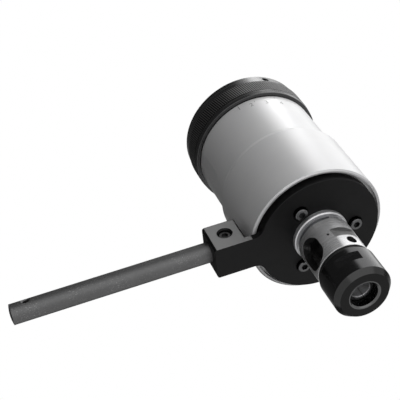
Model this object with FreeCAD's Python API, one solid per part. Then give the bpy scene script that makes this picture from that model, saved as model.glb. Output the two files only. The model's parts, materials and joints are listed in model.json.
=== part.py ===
import FreeCAD, Part
import math
import os

# Self-reversing tapping head, size class M8 to M20, in millimetres.
# Heights are measured up the spindle axis from the housing's lower rim, where z = 0.
# place() moves every piece down by socket_mouth_z, so the origin of the finished part
# is the middle of the drive socket's mouth, +Z points up into the machine spindle,
# and the stop rod points along -X.
# The radii grow outwards from the tap's bore: each one is the size inside it plus a wall
# or a clearance, so a change to one wall carries every piece outside it along.

V = FreeCAD.Vector
Z_AXIS = V(0, 0, 1)
ORIGIN = V(0, 0, 0)

# Fits
running_gap = 0.05          # radial, shaft turning or sliding in a bore
seat_gap = 0.02             # radial, piece pressed or seated in the same body
face_gap = 0.1              # axial, between flat faces that slide on each other
free_gap = 0.6              # axial, between pieces that pass with no contact
key_clearance = 0.2         # sides of a spline or a lug in its slot

# Radii of the spindle nose, from the tap's bore outwards
collet_bore_radius = 8.0
collet_wall = 7.0
nose_thread_wall = 4.0
nose_thread_step = 2.6
nose_groove_step = 1.3
collet_low_radius = collet_bore_radius + collet_wall
nose_thread_radius = collet_low_radius + nose_thread_wall
nose_radius = nose_thread_radius + nose_thread_step
groove_radius = nose_radius - nose_groove_step
jaw_cavity_radius = collet_low_radius

# Radii of the spindle above the nose
float_sleeve_step = 0.7
float_sleeve_wall = 5.3
journal_step = 4.0
collar_seat_step = 1.0
tail_step = 2.1
sleeve_radius = nose_radius + float_sleeve_step
neck_radius = sleeve_radius - float_sleeve_wall
journal_radius = neck_radius - journal_step
collar_seat_radius = journal_radius - collar_seat_step
tail_radius = collar_seat_radius - tail_step

# Epicyclic reversing gears: ring gear on the housing, planets on the stop plate
sun_teeth = 32
planet_teeth = 16
ring_teeth = sun_teeth + 2 * planet_teeth
planet_count = 3
pressure_angle = 20.0
addendum = 0.8              # in modules
dedendum = 1.15             # in modules
backlash = 0.12             # taken off each tooth at the pitch circle
gear_width = 11.8
pin_base_radius = 5.0
pin_step = 1.0
pin_tip_step = 0.5
pin_shoulder_step = 1.5
pin_web = 2.7               # between a pin's seat and the bore of the float sleeve
pin_seat_depth = 10.0
pin_circle = sleeve_radius + pin_web + pin_base_radius
pin_radius = pin_base_radius - pin_step
pin_tip_radius = pin_radius - pin_tip_step
gear_module = 2 * pin_circle / (sun_teeth + planet_teeth)
sun_pitch = gear_module * sun_teeth / 2
ring_pitch = gear_module * ring_teeth / 2
carrier_plate_thickness = 2.5
carrier_plate_rim = 6.0     # outside the circle of the planet pins
clip_thickness = 1.0
clip_groove_depth = 0.7
clip_reach = 2.0

# Cap screws that hold the planet pins
cap_head_radius = 5.0
cap_head_height = 6.0
cap_head_sink = 3.0
cap_head_room = 1.1
cap_head_edge = 0.5
cap_thread_radius = 3.0
cap_key_flats = 5.0
cap_key_depth = 3.0
cap_grip_length = 16.0

# Gear case of the housing
ring_gear_rim = 7.0
gear_case_wall = 8.0
rim_chamfer = 1.2
rim_width = 1.2
mouth_depth = 4.2
gear_bore_radius = ring_pitch + ring_gear_rim
housing_radius = gear_bore_radius + gear_case_wall
mouth_radius = housing_radius - rim_chamfer - rim_width

# Lower bearing, from the mouth of the housing up to the gears
circlip_land = 1.4
snap_ring_thickness = 1.2
snap_ring_height = 2.6
snap_groove_depth = 1.0
housing_clip_reach = 2.2
lower_bearing_width = 9.0
lower_bearing_height = 8.0
lower_roller_count = 12
race_wall = 3.0
gear_floor_gap = 0.4
gear_roof_gap = 1.8
boss_sink = 1.4
housing_clip_z = mouth_depth + circlip_land
lower_bearing_low_z = housing_clip_z + snap_ring_thickness + face_gap
ring_gear_low_z = lower_bearing_low_z + lower_bearing_height + face_gap
gear_low_z = ring_gear_low_z + gear_floor_gap
gear_high_z = gear_low_z + gear_width
cavity_low_z = gear_high_z + gear_roof_gap
boss_radius = gear_bore_radius - lower_bearing_width
boss_top_z = gear_low_z - boss_sink
pin_low_z = boss_top_z - pin_seat_depth

# Dog clutches: reversing gear below, forward driver above, collar between them
dog_count = 4
dog_angle = 36.0
dog_height = 4.0
dog_gap = 2.0               # free travel each way before the dogs start to enter
dog_inner_step = 2.0
dog_outer_step = 0.2
hub_height = 6.0
collar_height = 6.8
collar_nut_height = 5.4
collar_key_width = 4.0
collar_key_depth = 2.5
collar_key_rise = 1.6
collar_key_angle = 45.0
dog_inner_radius = journal_radius + dog_inner_step
dog_outer_radius = sun_pitch - dog_outer_step
hub_top_z = gear_high_z + hub_height
collar_low_z = hub_top_z + dog_height + dog_gap + dog_height
collar_top_z = collar_low_z + collar_height

# Forward driver, bolted to a web inside the housing
web_thickness = 6.0
driver_thickness = 6.0
driver_bore_step = 0.5
driver_screw_radius = 2.0
driver_screw_count = 4
driver_screw_angle = 45.0
driver_head_height = 2.4
driver_screw_land = 4.0     # on each side of the circle of the driver's screws
web_high_z = collar_top_z + dog_height + dog_gap + dog_height
web_low_z = web_high_z - web_thickness
driver_top_z = web_high_z + driver_thickness
driver_bore = dog_inner_radius - driver_bore_step

# Drive sleeve and its bearing
drive_wall = 7.6
drive_bearing_width = 9.5
drive_bearing_height = 12.0
drive_bearing_gap = 2.0
drive_roller_count = 10
cup_wall = 5.0
drive_radius = tail_radius + drive_wall
drive_bearing_outer = drive_radius + drive_bearing_width
cup_radius = drive_bearing_outer + cup_wall
web_bore_radius = cup_radius + driver_screw_land
driver_screw_circle = web_bore_radius + driver_screw_land
cavity_radius = driver_screw_circle + driver_screw_land
drive_bearing_low_z = driver_top_z + drive_bearing_gap
drive_bearing_top_z = drive_bearing_low_z + drive_bearing_height
drive_low_z = drive_bearing_low_z - 2 * free_gap

# Friction clutch: discs keyed in turn to the housing and to the drive sleeve
flange_collar_height = 2.0
flange_collar_step = 3.0
flange_thickness = 6.0
tail_entry = 2.0            # the spindle's tail above the lower face of the flange
spring_room = 14.0
spline_count = 4
spline_height = 2.0
spline_width = 6.0
spline_run_out = 9.0
disc_pairs = 4
disc_thickness = 1.9
disc_gap = 0.075
disc_rim_gap = 0.4
disc_bore_gap = 6.5
inner_disc_rim_gap = 2.0
lug_height = 2.2
lug_width = 8.0
pressure_plate_thickness = 5.0
disc_spring_rim_gap = 6.0
disc_spring_bore_gap = 3.0
disc_spring_height = 5.2
disc_spring_thickness = 2.6
drive_flange_low_z = drive_bearing_top_z + flange_collar_height
drive_flange_top_z = drive_flange_low_z + flange_thickness
tail_top_z = drive_flange_low_z + tail_entry
spring_bore_top_z = tail_top_z + spring_room
outer_disc_radius = cavity_radius - disc_rim_gap
outer_disc_bore = drive_radius + disc_bore_gap
inner_disc_radius = cavity_radius - inner_disc_rim_gap
pack_low_z = drive_flange_top_z + face_gap
pack_height = 2 * disc_pairs * (disc_thickness + disc_gap)
plate_low_z = pack_low_z + pack_height
springs_low_z = plate_low_z + pressure_plate_thickness + face_gap
spline_top_z = springs_low_z + spline_run_out
disc_spring_radius = cavity_radius - disc_spring_rim_gap
disc_spring_bore = drive_radius + disc_spring_bore_gap
stem_low_z = springs_low_z + 2 * (disc_spring_height + face_gap)
thrust_rim_gap = 4.0
thrust_bore_gap = 4.0
thrust_flange_step = 10.0
thrust_flange_thickness = 5.0
thrust_bearing_height = 6.0
thrust_sleeve_radius = cavity_radius - thrust_rim_gap

# Neck of the housing, around the clutch
thread_wall = 4.0
shoulder_step = 3.6
thread_edge = 1.0
thread_start = 0.4
flare_start = 1.5
flare_height = 6.5
flat_half_angle = 7.5       # spanner flats on the neck
flat_middle_angle = -170.5
flat_length = 37.0
thread_radius = cavity_radius + thread_wall
housing_neck_radius = thread_radius + shoulder_step
shoulder_z = stem_low_z + thread_start
flare_low_z = web_high_z + flare_start
flare_high_z = flare_low_z + flare_height

# Adjusting ring
ring_wall = 6.7
ring_foot_step = 2.2
grip_foot = 3.9
grip_height = 16.0
band_height = 10.9
band_step = 0.5
band_taper = 0.8
ring_flange_thickness = 2.8
ring_hub_depth = 9.4
ring_hub_gap = 1.0
ring_eye_gap = 0.9
ring_edge = 1.0
lock_screw_angle = -67.0
lock_screw_depth = 6.2
lock_screw_radius = 2.5
lock_screw_sink = 1.7
lock_screw_mouth = 0.9
ring_radius = thread_radius + ring_wall
ring_low_radius = ring_radius - ring_foot_step
band_radius = ring_radius - band_step
band_top_radius = band_radius - band_taper
ring_hub_radius = cavity_radius - ring_hub_gap
ring_eye_radius = drive_radius + ring_eye_gap
ring_low_z = shoulder_z + free_gap
grip_low_z = ring_low_z + grip_foot
grip_high_z = grip_low_z + grip_height
ring_top_z = grip_high_z + band_height
ring_hub_low_z = ring_top_z - ring_hub_depth
housing_top_z = ring_top_z - ring_flange_thickness - 0.8
lock_screw_z = ring_top_z - lock_screw_depth
thrust_bearing_low_z = ring_hub_low_z - face_gap - thrust_bearing_height

# Drive socket
socket_rise = 8.6
socket_wall = 6.6
socket_depth = 42.0
socket_taper = 0.0251       # loss of radius for each millimetre of depth, 1 in 20
relief_step = 2.0
socket_edge = 1.5
socket_mouth_z = ring_top_z + socket_rise
socket_mouth_radius = drive_radius - socket_wall

# Stop plate
plate_rim_gap = 2.6
plate_inset = 0.8
plate_thickness = 8.6
plate_edge = 0.5
boss_collar_step = 2.0
plate_radius = mouth_radius - plate_rim_gap
plate_back_z = mouth_depth - plate_inset
plate_front_z = plate_back_z - plate_thickness

# Arm of the stop plate and the stop rod; the rod's line passes beside the spindle axis
rod_radius = 8.0
rod_seat_step = 0.5         # the end inside the arm's block is thinner
rod_seat_margin = 2.6
rod_free_length = 156.5
rod_edge = 0.8
rod_dome = 1.1              # rise of the rounded end
rod_hole_radius = 2.3
rod_hole_mouth = 1.3
rod_hole_inset = 13.5
rod_hole_tilt = 14.0        # from the line across the arm
rod_y = -2.0
arm_wall = 5.7
arm_clearance = 3.4         # from the housing to the block that stands beside it
block_length = 26.8
block_height = 30.1
rod_height = 16.15
arm_edge_radius = 2.0
neck_fillet = 8.0
clamp_screw_radius = 5.0
clamp_screw_offset = 0.6    # from the middle of the block
clamp_screw_sink = 2.2
clamp_screw_mouth = 1.2
arm_half_width = rod_radius + arm_wall
block_inner_x = -housing_radius - arm_clearance
arm_end_x = block_inner_x - block_length
arm_back_z = plate_front_z + block_height
rod_z = plate_front_z + rod_height
rod_seat_radius = rod_radius - rod_seat_step
rod_end_x = arm_end_x - rod_free_length
rod_inner_x = block_inner_x - rod_seat_margin
clamp_screw_x = (block_inner_x + arm_end_x) / 2 + clamp_screw_offset

# Lengthwise float of the spindle in the stop plate
float_up = 5.0
float_margin = 0.3
sleeve_stand = 4.0          # the sleeve's end stands proud of the stop plate
sleeve_edge = 0.8
sleeve_low_z = plate_front_z - sleeve_stand
sleeve_top_z = boss_top_z - float_up - float_margin - face_gap - snap_ring_thickness
neck_top_z = sleeve_top_z + face_gap + snap_ring_thickness + free_gap
snap_ring_radius = neck_radius + snap_ring_height
lower_snap_gap_angle = -60.0
upper_snap_gap_angle = 160.0

# Spindle nose: jaw windows, flats, screw holes and the collet's seat
nose_top_gap = 4.2
nose_length = 35.8
nose_groove_width = 3.8
nose_thread_length = 11.0
spindle_edge = 0.5
collet_angle = 8.0
jaw_cavity_floor = 0.8
jaw_cavity_roof = 4.6
window_angle = -155.0
window_width = 21.0
window_reach = 6.0          # the cutting tool runs on past both sides of the wall
window_floor = 0.9
window_roof = 1.5
flat_depth = 2.9
flat_rise = 12.5
flat_height = 9.7
jaw_screw_angle = -65.0
jaw_screw_rise = 6.5
jaw_screw_radius = 4.0
jaw_screw_sink = 2.2
oil_hole_radius = 1.0
oil_hole_depth = 4.0
oil_hole_angle = -103.0
oil_hole_rise = 17.9
nose_top_z = sleeve_low_z - nose_top_gap
nose_low_z = nose_top_z - nose_length
thread_top_z = nose_low_z - nose_groove_width
spindle_end_z = thread_top_z - nose_thread_length
jaw_cavity_low_z = nose_low_z + jaw_cavity_floor
jaw_cavity_top_z = nose_top_z - jaw_cavity_roof
window_low_z = jaw_cavity_low_z + window_floor
window_top_z = jaw_cavity_top_z - window_roof
spindle_flat_low_z = nose_low_z + flat_rise
jaw_screw_z = nose_low_z + jaw_screw_rise
oil_hole_z = nose_low_z + oil_hole_rise

# Tap jaws
jaw_back_gap = 2.6
jaw_depth = 6.4
jaw_half_width = 6.5
jaw_rise = 1.0
jaw_height = 9.4
jaw_outer = jaw_cavity_radius - jaw_back_gap
jaw_inner = jaw_outer - jaw_depth
jaw_low_z = jaw_cavity_low_z + jaw_rise
jaw_top_z = jaw_low_z + jaw_height
jaw_screw_outer = nose_radius - jaw_screw_sink

# Collet and collet nut
collet_sink = 1.2
collet_head_step = 0.6
collet_head_height = 2.6
collet_snout = 9.8
collet_snout_height = 1.6
collet_mouth = 0.8
slit_count = 4
slit_width = 0.4
slit_angle = 73.5
nut_step = 1.3
nut_overhang = 8.0
nut_cone_height = 4.3
nut_cone_step = 3.4
nut_mouth_step = 2.9
nut_mouth_chamfer = 1.0
nut_mouth_gap = 0.4
nut_flat_rise = 14.6
nut_flat_height = 8.6
nut_flat_depth = 2.3
nut_flat_angle = -100.5
nut_edge = 0.6
collet_top_z = nose_low_z - collet_sink
collet_face_z = spindle_end_z - collet_snout
collet_head_radius = collet_low_radius + collet_head_step
nut_radius = nose_radius + nut_step
nut_face_z = collet_face_z - nut_overhang
nut_mouth_radius = collet_bore_radius + nut_mouth_step
collet_face_radius = nut_mouth_radius - nut_mouth_gap

# Float spring
spring_turns = 3
spring_rim_gap = 1.0
spring_wire_width = 2.4
spring_wire_height = 1.8


def turned(points):
    """Solid of revolution about the spindle axis from (radius, z) corners."""
    corners = [V(radius, 0, z) for radius, z in points]
    outline = Part.makePolygon(corners + [corners[0]])
    return Part.Face(outline).revolve(ORIGIN, Z_AXIS, 360)


def disc(radius, low_z, high_z, x=0.0, y=0.0):
    return Part.makeCylinder(radius, high_z - low_z, V(x, y, low_z))


def washer(inner, outer, low_z, high_z, x=0.0, y=0.0):
    return disc(outer, low_z, high_z, x, y).cut(disc(inner, low_z - 1, high_z + 1, x, y))


def direction(angle):
    return V(math.cos(math.radians(angle)), math.sin(math.radians(angle)), 0)


def radial_pin(radius, angle, z, inner, outer):
    """Cylinder along a radius of the spindle, from inner to outer."""
    way = direction(angle)
    return Part.makeCylinder(radius, outer - inner, way * inner + V(0, 0, z), way)


def radial_box(angle, inner, outer, width, low_z, high_z):
    """Block centred on a radius of the spindle."""
    block = Part.makeBox(outer - inner, width, high_z - low_z, V(inner, -width / 2, low_z))
    block.rotate(ORIGIN, Z_AXIS, angle)
    return block


def sector(inner, outer, low_z, high_z, middle, span):
    """Part of a ring that spans an angle about a middle direction."""
    outside = Part.makeCylinder(outer, high_z - low_z, V(0, 0, low_z), Z_AXIS, span)
    piece = outside.cut(disc(inner, low_z - 1, high_z + 1))
    piece.rotate(ORIGIN, Z_AXIS, middle - span / 2)
    return piece


def dogs(low_z, first_angle):
    """Ring of driving dogs, evenly spaced."""
    step = 360 / dog_count
    return [sector(dog_inner_radius, dog_outer_radius, low_z, low_z + dog_height,
                   first_angle + step * i, dog_angle) for i in range(dog_count)]


def hexagon(across_flats, low_z, high_z):
    corner = across_flats / math.sqrt(3)
    points = [direction(60 * i) * corner + V(0, 0, low_z) for i in range(6)]
    return Part.Face(Part.makePolygon(points + [points[0]])).extrude(V(0, 0, high_z - low_z))


def aim(shape, angle, z, outer):
    """Turns a shape that stands on z = 0 so that its top faces out along a radius."""
    shape.rotate(ORIGIN, V(0, 1, 0), 90)
    shape.rotate(ORIGIN, Z_AXIS, angle)
    shape.translate(direction(angle) * outer + V(0, 0, z))
    return shape


def set_screw(radius, length, key):
    """Socket set screw with its outer end at z = 0 and its body below."""
    edge = radius * 0.15
    body = turned([(0, -length), (radius - edge, -length), (radius, edge - length),
                   (radius, -edge), (radius - edge, 0), (0, 0)])
    return body.cut(hexagon(key, -length * 0.5, 1))


def involute(angle):
    return math.tan(angle) - angle


def tooth_half_angle(radius, pitch_radius, thickness):
    """Half the angle that a tooth of given pitch thickness takes at a radius."""
    base = pitch_radius * math.cos(math.radians(pressure_angle))
    at_pitch = thickness / (2 * pitch_radius) + involute(math.radians(pressure_angle))
    if radius <= base:
        return at_pitch
    return at_pitch - involute(math.acos(base / radius))


def gear_face(teeth, low_radius, high_radius, thickness, first_angle, z):
    """Flat face bounded by involute teeth, with a tooth centred on first_angle."""
    pitch_radius = gear_module * teeth / 2
    base = pitch_radius * math.cos(math.radians(pressure_angle))
    start = max(base, low_radius)
    flank = [low_radius] if low_radius < base else []
    flank += [start, (start + high_radius) / 2, high_radius]
    points = []
    for tooth in range(teeth):
        middle = math.radians(first_angle) + 2 * math.pi * tooth / teeth
        for side, radii in ((-1, flank), (1, flank[::-1])):
            for radius in radii:
                angle = middle + side * tooth_half_angle(radius, pitch_radius, thickness)
                points.append(V(radius * math.cos(angle), radius * math.sin(angle), z))
    return Part.Face(Part.makePolygon(points + [points[0]]))


def spur_gear(teeth, first_angle, low_z, high_z):
    pitch_radius = gear_module * teeth / 2
    thickness = math.pi * gear_module / 2 - backlash
    face = gear_face(teeth, pitch_radius - dedendum * gear_module,
                     pitch_radius + addendum * gear_module, thickness, first_angle, low_z)
    return face.extrude(V(0, 0, high_z - low_z))


def planet_phase(angle):
    """Direction of a planet tooth that meshes with a sun tooth on the +X axis."""
    planet_step = 360 / planet_teeth
    sun_step = 360 / sun_teeth
    return angle + 180 + planet_step * (0.5 + angle / sun_step)


def planet_angles():
    return [360 / planet_count * i for i in range(planet_count)]


def bearing(inner, outer, low_z, height, roller_count):
    """Roller bearing as inner race, outer race and one group of rollers."""
    radius = (outer - inner) / 2 - race_wall - face_gap
    middle = (inner + outer) / 2
    inner_race = washer(inner, inner + race_wall, low_z, low_z + height)
    outer_race = washer(outer - race_wall, outer, low_z, low_z + height)
    rollers = []
    for i in range(roller_count):
        x_y = direction(360 * i / roller_count) * middle
        rollers.append(disc(radius, low_z + 0.5, low_z + height - 0.5, x_y.x, x_y.y))
    return inner_race, outer_race, Part.makeCompound(rollers)


def driver_screw_place(index):
    return direction(driver_screw_angle + 360 * index / driver_screw_count) * driver_screw_circle


def housing():
    """Turned aluminium body: wide gear case, flared neck, threaded top."""
    neck_edge = free_gap
    body = turned([
        (mouth_radius, 0), (housing_radius - rim_chamfer, 0), (housing_radius, rim_chamfer),
        (housing_radius, flare_low_z), (housing_neck_radius, flare_high_z),
        (housing_neck_radius, shoulder_z - neck_edge), (housing_neck_radius - neck_edge, shoulder_z),
        (thread_radius - thread_edge / 2, shoulder_z),
        (thread_radius - thread_edge / 2, shoulder_z + 1.5 * thread_edge),
        (thread_radius, shoulder_z + 2 * thread_edge), (thread_radius, housing_top_z - thread_edge),
        (thread_radius - thread_edge, housing_top_z), (cavity_radius, housing_top_z),
        (cavity_radius, web_high_z), (web_bore_radius, web_high_z),
        (web_bore_radius, web_low_z), (cavity_radius, web_low_z),
        (cavity_radius, cavity_low_z), (gear_bore_radius, cavity_low_z),
        (gear_bore_radius, mouth_depth), (mouth_radius, mouth_depth)])
    body = body.cut(disc(gear_bore_radius + snap_groove_depth, housing_clip_z,
                         housing_clip_z + snap_ring_thickness))
    flat_distance = housing_neck_radius * math.cos(math.radians(flat_half_angle))
    for side in (0, 180):
        body = body.cut(radial_box(flat_middle_angle + side, flat_distance, housing_radius + 1,
                                   2 * housing_radius, shoulder_z - flat_length,
                                   shoulder_z + 1))
    for i in range(spline_count):
        body = body.cut(radial_box(360 * i / spline_count, cavity_radius - 2,
                                   cavity_radius + lug_height + key_clearance,
                                   lug_width + 2 * key_clearance,
                                   drive_flange_top_z, housing_top_z + 1))
    for i in range(driver_screw_count):
        x_y = driver_screw_place(i)
        body = body.cut(disc(driver_screw_radius + seat_gap, web_low_z - 1, web_high_z + 1,
                             x_y.x, x_y.y))
    return body


def adjusting_ring():
    """Black ring that screws down on the clutch springs, with a grip band and a lock screw."""
    bore = thread_radius + running_gap
    flange_low_z = ring_top_z - ring_flange_thickness
    ring = turned([
        (bore, ring_low_z), (ring_low_radius, ring_low_z),
        (ring_low_radius + 1.3 * ring_edge, ring_low_z + ring_edge),
        (ring_radius - 0.4 * ring_edge, grip_low_z - 1.2 * ring_edge), (ring_radius, grip_low_z),
        (ring_radius, grip_high_z), (band_radius, grip_high_z + ring_edge),
        (band_top_radius, ring_top_z - ring_edge), (band_top_radius - ring_edge, ring_top_z),
        (ring_eye_radius + ring_edge, ring_top_z), (ring_eye_radius, ring_top_z - ring_edge),
        (ring_eye_radius, ring_hub_low_z), (ring_hub_radius, ring_hub_low_z),
        (ring_hub_radius, flange_low_z), (bore, flange_low_z)])
    hole = radial_pin(lock_screw_radius + seat_gap, lock_screw_angle, lock_screw_z,
                      bore - 1, ring_radius + 1)
    mouth = Part.makeCone(lock_screw_radius, lock_screw_radius + lock_screw_mouth,
                          lock_screw_mouth)
    mouth = aim(mouth, lock_screw_angle, lock_screw_z, band_top_radius - 0.2 * lock_screw_mouth)
    return ring.cut(hole).cut(mouth)


def ring_lock_screw():
    outer = band_top_radius - lock_screw_sink
    screw = set_screw(lock_screw_radius, outer - thread_radius - 2 * running_gap,
                      lock_screw_radius)
    return aim(screw, lock_screw_angle, lock_screw_z, outer)


def ring_gear():
    """Internal gear in the housing; its tooth spaces face the planets."""
    blank = disc(gear_bore_radius - seat_gap, ring_gear_low_z, cavity_low_z)
    space = math.pi * gear_module / 2 + backlash
    step = 360 / ring_teeth
    first = planet_phase(0) / (360 / planet_teeth) * step
    face = gear_face(ring_teeth, ring_pitch - addendum * gear_module,
                     ring_pitch + dedendum * gear_module, space, first, ring_gear_low_z - 1)
    return blank.cut(face.extrude(V(0, 0, cavity_low_z - ring_gear_low_z + 2)))


def forward_driver():
    """Dog plate bolted in the housing, with the cup of the drive bearing on top."""
    radius = cavity_radius - key_clearance
    plate = turned([
        (driver_bore, web_high_z), (radius, web_high_z), (radius, driver_top_z),
        (cup_radius, driver_top_z), (cup_radius, drive_bearing_top_z),
        (drive_bearing_outer + seat_gap, drive_bearing_top_z),
        (drive_bearing_outer + seat_gap, drive_bearing_low_z),
        (drive_radius + race_wall, drive_bearing_low_z), (drive_radius + race_wall, driver_top_z),
        (driver_bore, driver_top_z)])
    plate = plate.fuse(dogs(web_high_z - dog_height, 0)).removeSplitter()
    for i in range(driver_screw_count):
        x_y = driver_screw_place(i)
        plate = plate.cut(disc(driver_screw_radius + seat_gap, web_high_z - 1, driver_top_z + 1,
                               x_y.x, x_y.y))
    return plate


def driver_screws():
    screws = []
    for i in range(driver_screw_count):
        x_y = driver_screw_place(i)
        shank = disc(driver_screw_radius, web_low_z + free_gap, driver_top_z, x_y.x, x_y.y)
        head = disc(driver_screw_radius * 1.75, driver_top_z, driver_top_z + driver_head_height,
                    x_y.x, x_y.y)
        screws.append(shank.fuse(head).removeSplitter())
    return Part.makeCompound(screws)


def circlip(inner, outer, low_z, gap_angle, gap_middle):
    ring = washer(inner, outer, low_z, low_z + snap_ring_thickness)
    return ring.cut(sector(inner - 2, outer + 2, low_z - 1, low_z + snap_ring_thickness + 1,
                           gap_middle, gap_angle))


def outer_disc(index):
    """Clutch plate keyed in the housing by lugs."""
    low_z = pack_low_z + 2 * index * (disc_thickness + disc_gap)
    plate = disc(outer_disc_radius, low_z, low_z + disc_thickness)
    for i in range(spline_count):
        plate = plate.fuse(radial_box(360 * i / spline_count, outer_disc_radius - 3,
                                      cavity_radius + lug_height - key_clearance, lug_width,
                                      low_z, low_z + disc_thickness))
    plate = plate.cut(disc(outer_disc_bore, low_z - 1, low_z + disc_thickness + 1))
    return plate.removeSplitter()


def keyed_plate(radius, low_z, high_z):
    """Round plate on the splines of the drive sleeve."""
    plate = washer(drive_radius + key_clearance, radius, low_z, high_z)
    for i in range(spline_count):
        plate = plate.cut(radial_box(360 * i / spline_count, drive_radius - 2,
                                     drive_radius + spline_height + key_clearance,
                                     spline_width + 2 * key_clearance, low_z - 1, high_z + 1))
    return plate


def inner_disc(index):
    low_z = pack_low_z + (2 * index + 1) * (disc_thickness + disc_gap)
    return keyed_plate(inner_disc_radius, low_z, low_z + disc_thickness)


def disc_spring(index):
    """Conical spring washer; the two stand rim to rim."""
    low_z = springs_low_z + index * (disc_spring_height + face_gap)
    rise = disc_spring_height - disc_spring_thickness
    inner_z = low_z if index == 0 else low_z + rise
    outer_z = low_z + rise if index == 0 else low_z
    return turned([
        (disc_spring_bore, inner_z), (disc_spring_radius, outer_z),
        (disc_spring_radius, outer_z + disc_spring_thickness),
        (disc_spring_bore, inner_z + disc_spring_thickness)])


def thrust_sleeve():
    """Carries the ring's push through the thrust bearing to the disc springs."""
    top_z = thrust_bearing_low_z - face_gap
    flange_z = top_z - thrust_flange_thickness
    bore = drive_radius + thrust_bore_gap
    stem_radius = thrust_sleeve_radius - thrust_flange_step
    return turned([
        (bore, stem_low_z), (stem_radius, stem_low_z), (stem_radius, flange_z),
        (thrust_sleeve_radius, flange_z), (thrust_sleeve_radius, top_z), (bore, top_z)])


def thrust_bearing():
    """Caged needle thrust bearing under the ring, as race, cage and race."""
    third = thrust_bearing_height / 3
    low_z = thrust_bearing_low_z
    pieces = []
    for i, inset in enumerate((0, 1.5, 0)):
        pieces.append(washer(ring_eye_radius + 2 + inset, thrust_sleeve_radius - inset,
                             low_z + i * third, low_z + (i + 1) * third - face_gap))
    return pieces


def drive_sleeve():
    """Central shaft with the taper socket and, on a collar, the splines of the clutch."""
    socket_end_z = socket_mouth_z - socket_depth
    socket_end_radius = socket_mouth_radius - socket_depth * socket_taper
    relief = socket_end_radius - relief_step
    spring_bore = tail_radius + running_gap
    collar_radius = drive_radius + flange_collar_step
    sleeve = turned([
        (spring_bore, drive_low_z), (drive_radius - 1, drive_low_z), (drive_radius, drive_low_z + 1),
        (drive_radius, drive_bearing_top_z), (collar_radius, drive_bearing_top_z),
        (collar_radius, drive_flange_low_z), (drive_radius, drive_flange_low_z),
        (drive_radius, socket_mouth_z - socket_edge), (drive_radius - socket_edge, socket_mouth_z),
        (socket_mouth_radius, socket_mouth_z), (socket_end_radius, socket_end_z),
        (relief, socket_end_z), (relief, spring_bore_top_z), (spring_bore, spring_bore_top_z)])
    for i in range(spline_count):
        sleeve = sleeve.fuse(radial_box(360 * i / spline_count, drive_radius - 1,
                                        drive_radius + spline_height, spline_width,
                                        drive_flange_low_z, spline_top_z))
    return sleeve.removeSplitter()


def arm_neck():
    """Flat arm from the block to the disc, with a fillet against the disc on each edge."""
    high_z = -free_gap
    inner_x = -plate_radius * 0.8
    neck = Part.makeBox(inner_x - block_inner_x + neck_fillet, 2 * arm_half_width,
                        high_z - plate_front_z,
                        V(block_inner_x - neck_fillet, rod_y - arm_half_width, plate_front_z))
    reach = plate_radius + neck_fillet
    for side in (-1, 1):
        edge_y = rod_y + side * arm_half_width
        centre_y = edge_y + side * neck_fillet
        centre_x = -math.sqrt(reach ** 2 - centre_y ** 2)
        touch_y = centre_y * plate_radius / reach
        corner = V(centre_x, min(edge_y, touch_y), plate_front_z)
        web = Part.makeBox(inner_x - centre_x, abs(touch_y - edge_y), high_z - plate_front_z, corner)
        web = web.cut(disc(neck_fillet, plate_front_z - 1, high_z + 1, centre_x, centre_y))
        neck = neck.fuse(web)
    return neck


def stop_plate():
    """Disc, bearing boss and rod arm in one piece; it stands still while the head turns."""
    collar_radius = boss_radius + boss_collar_step
    plate = turned([
        (0, plate_front_z), (plate_radius - plate_edge, plate_front_z),
        (plate_radius, plate_front_z + plate_edge), (plate_radius, plate_back_z),
        (collar_radius, plate_back_z), (collar_radius, lower_bearing_low_z - face_gap),
        (boss_radius, lower_bearing_low_z - face_gap), (boss_radius, boss_top_z), (0, boss_top_z)])
    block = Part.makeBox(block_length, 2 * arm_half_width, block_height,
                         V(arm_end_x, rod_y - arm_half_width, plate_front_z))
    rounded = [edge for edge in block.Edges
               if edge.BoundBox.ZLength > 1 or edge.BoundBox.ZMin > arm_back_z - 0.01]
    block = block.makeFillet(arm_edge_radius, rounded)
    plate = plate.fuse([block, arm_neck()]).removeSplitter()
    plate = plate.cut(disc(sleeve_radius + running_gap, plate_front_z - 1, boss_top_z + 1))
    for angle in planet_angles():
        x_y = direction(angle) * pin_circle
        plate = plate.cut(disc(cap_head_radius + cap_head_room, plate_front_z - 1,
                               plate_front_z + cap_head_sink, x_y.x, x_y.y))
        plate = plate.cut(disc(cap_thread_radius + cap_head_room / 4, plate_front_z,
                               pin_low_z + 1, x_y.x, x_y.y))
        plate = plate.cut(disc(pin_base_radius + seat_gap, pin_low_z, boss_top_z + 1, x_y.x, x_y.y))
    side_y = rod_y - arm_half_width
    rod_bore = Part.makeCylinder(rod_seat_radius + seat_gap, rod_inner_x - arm_end_x + 2,
                                 V(arm_end_x - 2, rod_y, rod_z), V(1, 0, 0))
    screw_bore = Part.makeCylinder(clamp_screw_radius + seat_gap, arm_half_width + 1,
                                   V(clamp_screw_x, side_y - 1, rod_z), V(0, 1, 0))
    screw_mouth = Part.makeCone(clamp_screw_radius + clamp_screw_mouth, clamp_screw_radius,
                                clamp_screw_mouth, V(clamp_screw_x, side_y, rod_z), V(0, 1, 0))
    return plate.cut(rod_bore).cut(screw_bore).cut(screw_mouth)


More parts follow.
